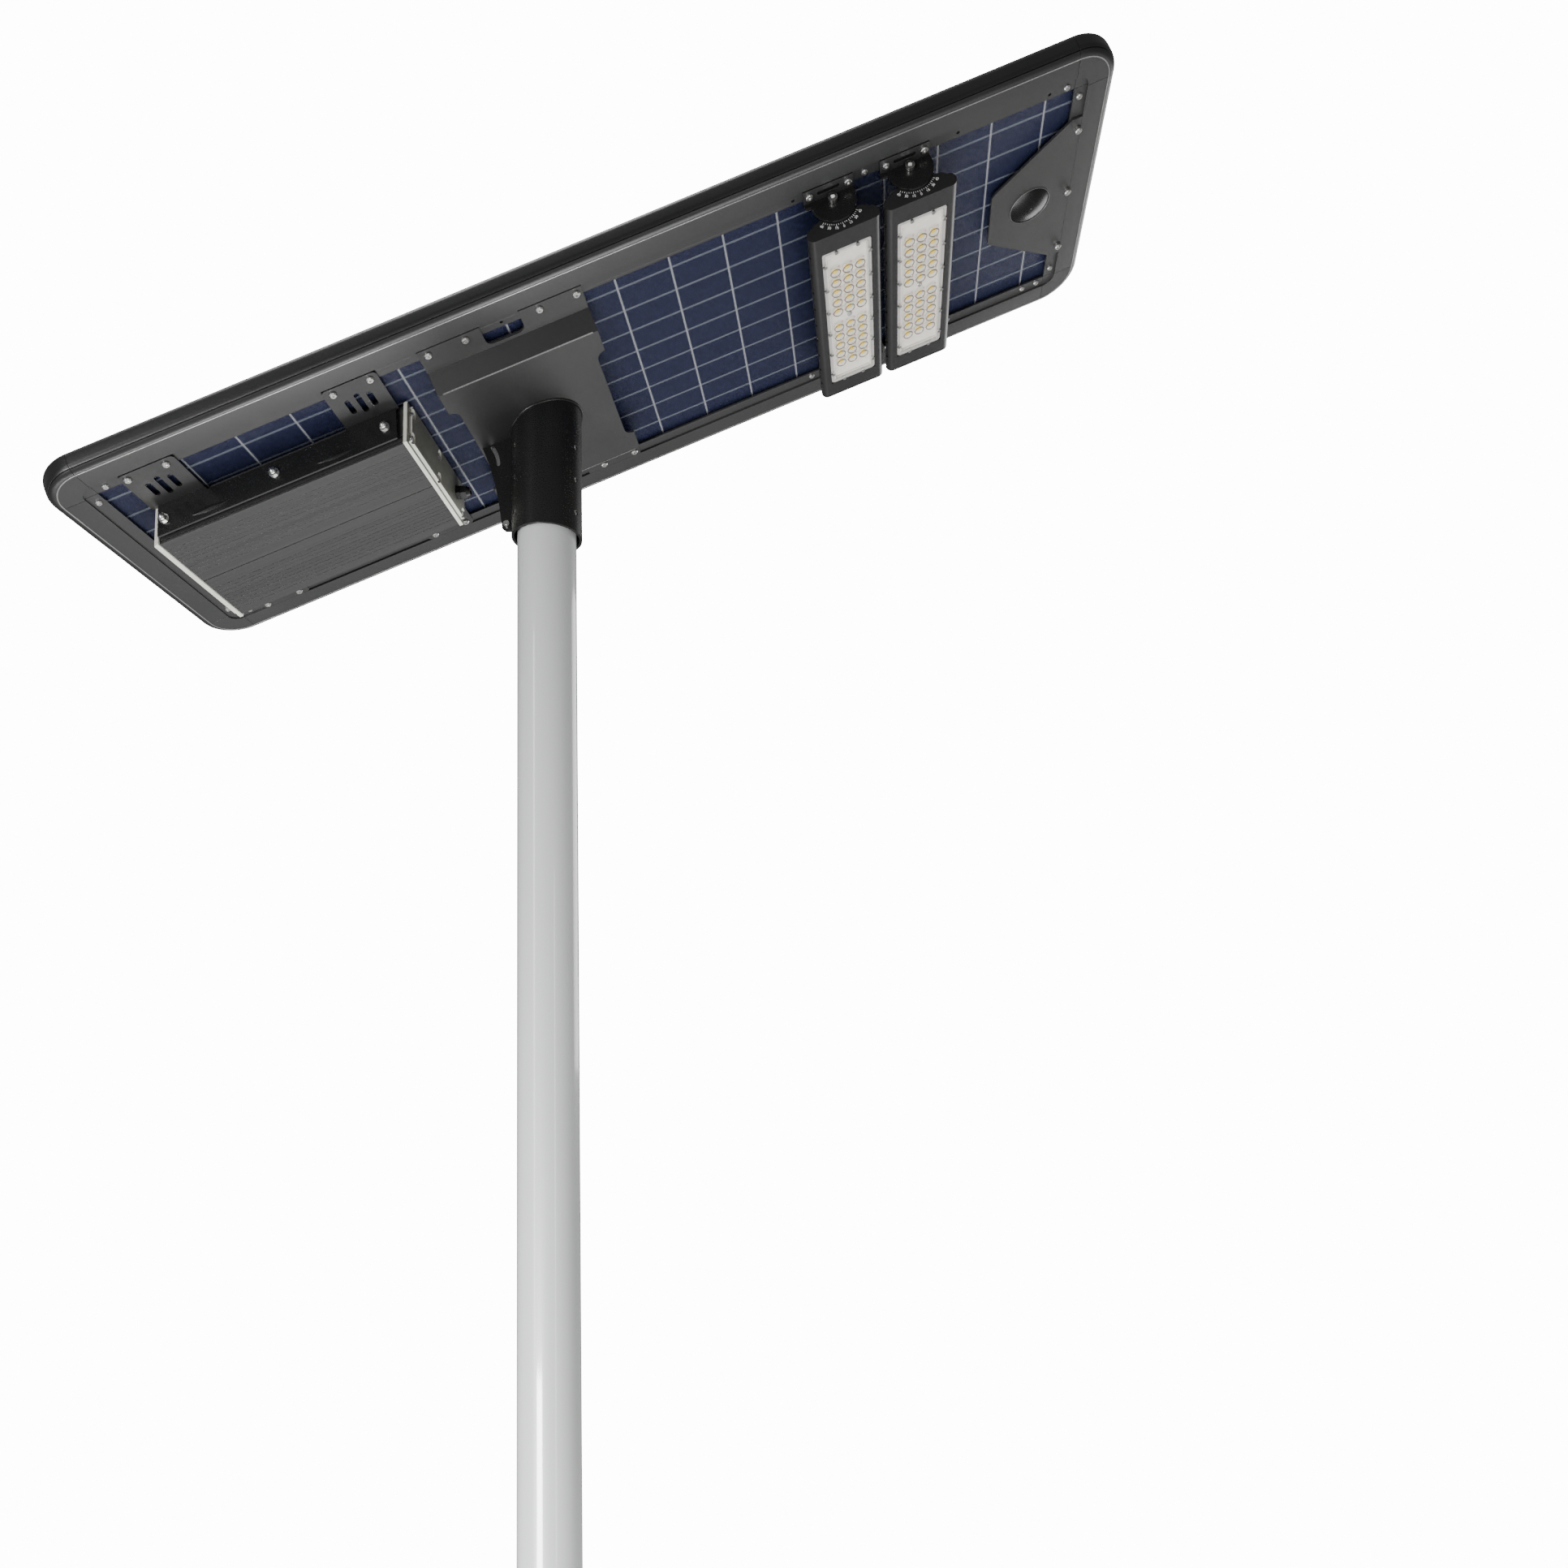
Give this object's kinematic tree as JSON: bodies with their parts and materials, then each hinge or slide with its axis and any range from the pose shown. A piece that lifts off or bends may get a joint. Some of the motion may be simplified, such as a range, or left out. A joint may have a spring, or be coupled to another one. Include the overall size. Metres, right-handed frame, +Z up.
{
  "type": "solar street lamp",
  "caption": "Street lamp with a double-sided solar panel on a pole, a battery pack, a motion sensor and tilting LED modules under the panel.",
  "frame": {"origin": "centre of the base flange's underside, on the pole axis", "axes": "+Z up along the pole, +X towards the lamp modules and the sensor, +Y across the panel"},
  "size_m": [1.0858, 0.364, 3.2928],
  "materials": {
    "pole_paint": "satin",
    "black_plastic": "satin",
    "frame_aluminium": "satin",
    "stainless": "satin",
    "clear_glass": "gloss",
    "solar_cell": "gloss",
    "seal_rubber": "matte",
    "bracket_paint": "satin",
    "case_aluminium": "satin",
    "cap_casting": "satin",
    "cell_wrap": "satin",
    "circuit_board": "satin",
    "sensor_black": "gloss",
    "lamp_casting": "satin",
    "lens_plastic": "gloss",
    "led_board": "satin",
    "led_phosphor": "gloss"
  },
  "bodies": {
    "pole_base": {"pole": "pole_paint", "base_flange": "pole_paint", "flange_gussets": "pole_paint", "pole_plug": "black_plastic"},
    "head": {"rail_near": "frame_aluminium", "rail_far": "frame_aluminium", "rail_battery_end": "frame_aluminium", "rail_sensor_end": "frame_aluminium", "corner_battery_near": "frame_aluminium", "corner_battery_far": "frame_aluminium", "corner_sensor_near": "frame_aluminium", "corner_sensor_far": "frame_aluminium", "frame_screws": "stainless", "front_glass": "clear_glass", "front_cells": "solar_cell", "rear_cells": "solar_cell", "rear_glass": "clear_glass", "laminate_seals": "seal_rubber", "panel_spacer": "seal_rubber", "junction_box": "black_plastic", "saddle": "bracket_paint", "sleeve": "bracket_paint", "gusset_fin": "bracket_paint", "gusset_bolt": "stainless", "set_screws": "stainless", "bracket_screws": "stainless", "pack_case_near": "case_aluminium", "pack_case_far": "case_aluminium", "pack_cap_outer": "cap_casting", "pack_cap_inner": "cap_casting", "cap_gaskets": "seal_rubber", "cap_screws": "stainless", "battery_cells": "cell_wrap", "charge_board": "circuit_board", "cable_gland": "black_plastic", "gland_nut": "black_plastic", "strip_near": "bracket_paint", "strip_far": "bracket_paint", "strip_nuts": "stainless", "sensor_plate": "bracket_paint", "sensor_lens": "sensor_black", "sensor_cup": "black_plastic", "sensor_board": "circuit_board", "sensor_screws": "stainless", "lamp_brackets_a": "bracket_paint", "lamp_brackets_b": "bracket_paint"},
    "lamp_a": {"lamp_housing_a": "lamp_casting", "lamp_lens_a": "lens_plastic", "lens_gasket_a": "seal_rubber", "led_board_a": "led_board", "led_emitters_a": "led_phosphor", "lens_screws_a": "stainless", "pivot_bolts_a": "stainless"},
    "lamp_b": {"lamp_housing_b": "lamp_casting", "lamp_lens_b": "lens_plastic", "lens_gasket_b": "seal_rubber", "led_board_b": "led_board", "led_emitters_b": "led_phosphor", "lens_screws_b": "stainless", "pivot_bolts_b": "stainless"}
  },
  "joints": [
    {"name": "head_swivel", "type": "hinge", "parent": "pole_base", "child": "head", "pos_m": [0, 0, 3.039], "axis": [0, 0, 1], "range_deg": [-180, 180]},
    {"name": "lamp_a_tilt", "type": "hinge", "parent": "head", "child": "lamp_a", "pos_m": [0.4093, 0, 3.18643], "axis": [0, 1, 0], "range_deg": [-45, 45]},
    {"name": "lamp_b_tilt", "type": "hinge", "parent": "head", "child": "lamp_b", "pos_m": [0.3302, 0, 3.1567], "axis": [0, 1, 0], "range_deg": [-3, 45]}
  ]
}
